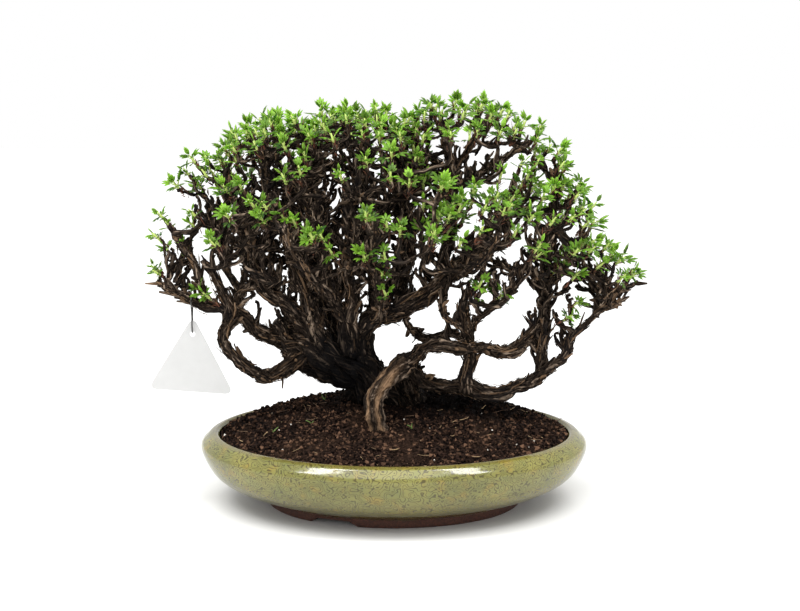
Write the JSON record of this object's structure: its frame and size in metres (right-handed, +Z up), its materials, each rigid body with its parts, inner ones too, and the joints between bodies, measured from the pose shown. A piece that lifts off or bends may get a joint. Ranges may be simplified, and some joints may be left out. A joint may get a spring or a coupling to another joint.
{
  "type": "shrubby cinquefoil bonsai",
  "caption": "Shrubby cinquefoil grown as a low, wide bonsai, with a leaning trunk, an arched root and leafy twigs, in an oval glazed pot of soil.",
  "frame": {"origin": "on the surface the pot stands on, under the middle of the plant and pot", "axes": "+Z up; X along the pot's length, +X to the right seen from the front; the front, with the arched root, faces -Y"},
  "size_m": [0.4115, 0.256, 0.3452],
  "materials": {
    "glaze": "gloss",
    "screen": "matte",
    "soil": "matte",
    "bark": "matte",
    "leaf": "satin",
    "label": "satin",
    "wire": "satin"
  },
  "bodies": {
    "root": {"pot": "glaze", "drain_screen_left": "screen", "drain_screen_right": "screen", "soil": "soil", "wood": "bark", "spray_01": "leaf", "spray_02": "leaf", "spray_03": "leaf", "spray_04": "leaf", "spray_05": "leaf", "spray_06": "leaf", "spray_07": "leaf", "spray_08": "leaf", "spray_09": "leaf", "spray_10": "leaf", "spray_11": "leaf", "spray_12": "leaf", "spray_13": "leaf", "spray_14": "leaf", "spray_15": "leaf", "spray_16": "leaf", "spray_17": "leaf", "spray_18": "leaf", "spray_19": "leaf", "spray_20": "leaf", "spray_21": "leaf", "spray_22": "leaf", "spray_23": "leaf", "spray_24": "leaf", "spray_25": "leaf", "spray_26": "leaf", "spray_27": "leaf", "spray_28": "leaf", "spray_29": "leaf", "spray_30": "leaf", "spray_31": "leaf", "spray_32": "leaf", "spray_33": "leaf", "spray_34": "leaf", "spray_35": "leaf", "spray_36": "leaf", "spray_37": "leaf", "spray_38": "leaf", "spray_39": "leaf", "spray_40": "leaf", "spray_41": "leaf", "spray_42": "leaf", "spray_43": "leaf", "spray_44": "leaf", "spray_45": "leaf", "spray_46": "leaf", "spray_47": "leaf", "spray_48": "leaf", "spray_49": "leaf", "spray_50": "leaf", "spray_51": "leaf", "spray_52": "leaf", "spray_53": "leaf", "label_plate": "label", "label_wire": "wire"}
  },
  "joints": []
}
